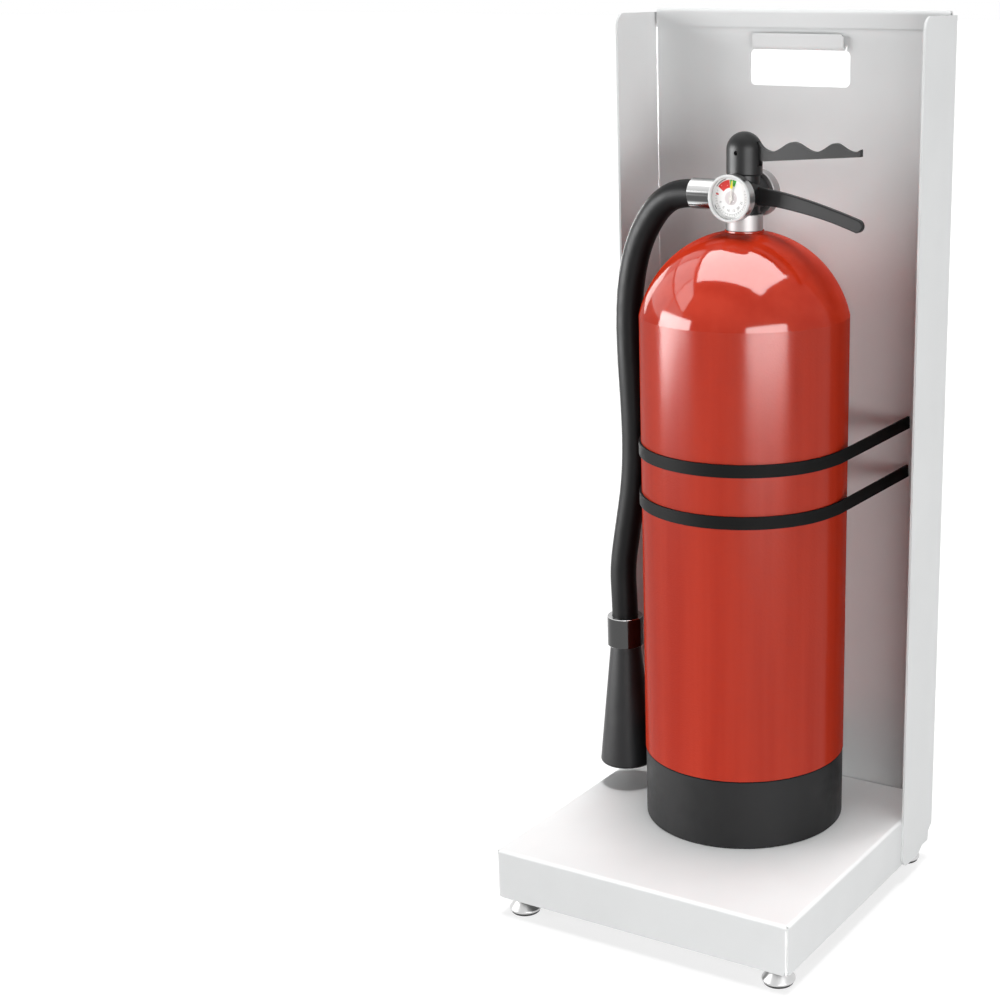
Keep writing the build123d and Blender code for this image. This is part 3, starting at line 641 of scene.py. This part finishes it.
# What each lamp lights: collections by kind of finish, and one of all but the enamel
SHINES = {
    "enamel": ("red_paint",),
    "coat": ("white_sheet",),
    "metal": ("chrome", "satin_metal", "gauge_steel", "gauge_white", "zinc", "foot_metal"),
}
receivers = {
    kind: bpy.data.collections.new("seen_by_" + kind)
    for kind in (*SHINES, "rest", "all_but_enamel")
}
for part in subparts:
    kinds = [kind for kind, slots in SHINES.items() if part["material_slot"] in slots]
    receivers[kinds[0] if kinds else "rest"].objects.link(nodes[part["node"]])
for piece in (wall_skin, dome_skin):
    receivers["enamel"].objects.link(piece)
for piece in (hose, boot_shadow_line):
    receivers["rest"].objects.link(piece)
for piece in scene.objects:
    if piece.type in ("MESH", "CURVE") and piece.name not in receivers["enamel"].objects:
        receivers["all_but_enamel"].objects.link(piece)
# The coat's bright lines take the enamel's lamps too
for piece in (bend_line, bead_right, bead_left):
    receivers["enamel"].objects.link(piece)


def panel_light(name, place, target, size, level):
    """A soft rectangular lamp: level is its brightness."""
    data = bpy.data.lights.new(name, "AREA")
    data.shape = "RECTANGLE"
    data.size, data.size_y = size
    data.energy = level * math.pi * size[0] * size[1]
    lamp = bpy.data.objects.new(name, data)
    lamp.location = place
    lamp.rotation_euler = (Vector(target) - Vector(place)).to_track_quat("-Z", "Y").to_euler()
    scene.collection.objects.link(lamp)
    lamp.visible_camera = False
    return lamp


def softbox(name, place, target, size, level, kind):
    """A rectangle that only shows as a highlight, in one kind of finish."""
    lamp = panel_light(name, place, target, size, level)
    lamp.visible_diffuse = False
    lamp.light_linking.receiver_collection = receivers[kind]
    if kind == "enamel":
        lamp.data.cycles.max_bounces = 0
    return lamp


def low_light(name, azimuth, size, level):
    """A soft lamp near the floor, which gives light and no highlight."""
    lamp = panel_light(name, WALL + LAMP_AWAY * toward(azimuth, 0), WALL, size, level)
    lamp.visible_glossy = False
    return lamp


def only_for(lamp, kind):
    """Lets a lamp light one kind of finish alone."""
    lamp.light_linking.receiver_collection = receivers[kind]
    return lamp


def lamp_pair(make, name, **settings):
    """One lamp for the red enamel, whose light doesn't go on to tint the sheet, and one for the rest."""
    only_for(make(name, **settings), "all_but_enamel")
    only_for(make(name + "_enamel", **settings), "enamel").data.cycles.max_bounces = 0


lamp_pair(daylight, "day_left", azimuth=-57, elevation=9, level=0.5, angle=30)
only_for(daylight("day_right", azimuth=75, elevation=8, level=0.17, angle=25), "coat")
lamp_pair(daylight, "day_top", azimuth=180, elevation=88, level=0.86, angle=20)
daylight("day_back", azimuth=180, elevation=20, level=0.65, angle=50)
low_light("low_left", azimuth=-40, size=(1.0, 0.6), level=3.65)
lamp_pair(low_light, "low_right", azimuth=47, size=(1.5, 0.6), level=7.6)
only_for(low_light("low_right_coat", azimuth=68, size=(0.8, 0.6), level=1.4), "coat")

# Bright boxes that show in glossy surfaces: levels of the left, right and top box for each kind of finish
BOX_LEVELS = {
    "enamel": (31, 24, 24),
    "coat": (1.2, 1.2, 0.5),
    "metal": (3, 3, 1),
    "rest": (20, 8, 0.8),
}
LEFT_BOX, RIGHT_BOX, TOP_BOX = (1.75, 1.2), (1.8, 1.38), (1.83, 1.1)
LEFT_ROLL = 7
left_place = DOME + LAMP_AWAY * toward(-53, 3.5)
right_place = DOME + LAMP_AWAY * toward(53, 4.5)
top_place, top_target = (-0.065, -0.03, 1.85), (-0.065, -0.0301, 0)
for kind, (left_level, right_level, top_level) in BOX_LEVELS.items():
    left = softbox("box_left_" + kind, left_place, DOME, LEFT_BOX, left_level, kind)
    left.rotation_euler.rotate_axis("Z", math.radians(LEFT_ROLL))
    softbox("box_right_" + kind, right_place, DOME, RIGHT_BOX, right_level, kind)
    softbox("box_top_" + kind, top_place, top_target, TOP_BOX, top_level, kind)

# A window to the left, which shows in the dome: its panes' sides, and for each row its height and levels
WINDOW_AWAY = 2.0
PANE_COLUMNS = ((-0.95, -0.37), (-0.34, 0.34), (0.37, 1.0))
PANE_ROWS = (((0.60, 1.17), (9, 7, 3.5)), ((0.16, 0.56), (3.5, 4, 1.5)))
for low_high, levels in PANE_ROWS:
    for sides, level in zip(PANE_COLUMNS, levels):
        place = DOME + WINDOW_AWAY * Vector((-1, sum(sides) / 2, sum(low_high) / 2))
        size = [WINDOW_AWAY * (b - a) for a, b in (sides, low_high)]
        softbox("window_pane", place, place + Vector((1, 0, 0)), size, level, "enamel")

# Narrow strips farther back, which draw bright lines down the left edges of the dome and the black pieces
enamel_strip = DOME + LAMP_AWAY * toward(-121, 9)
black_strip = DOME + LAMP_AWAY * toward(-130, -5)
softbox("strip_left", enamel_strip, DOME, (0.85, 0.7), 9, "enamel")
softbox("strip_left_black", black_strip, DOME, (0.7, 1.3), 16, "rest")
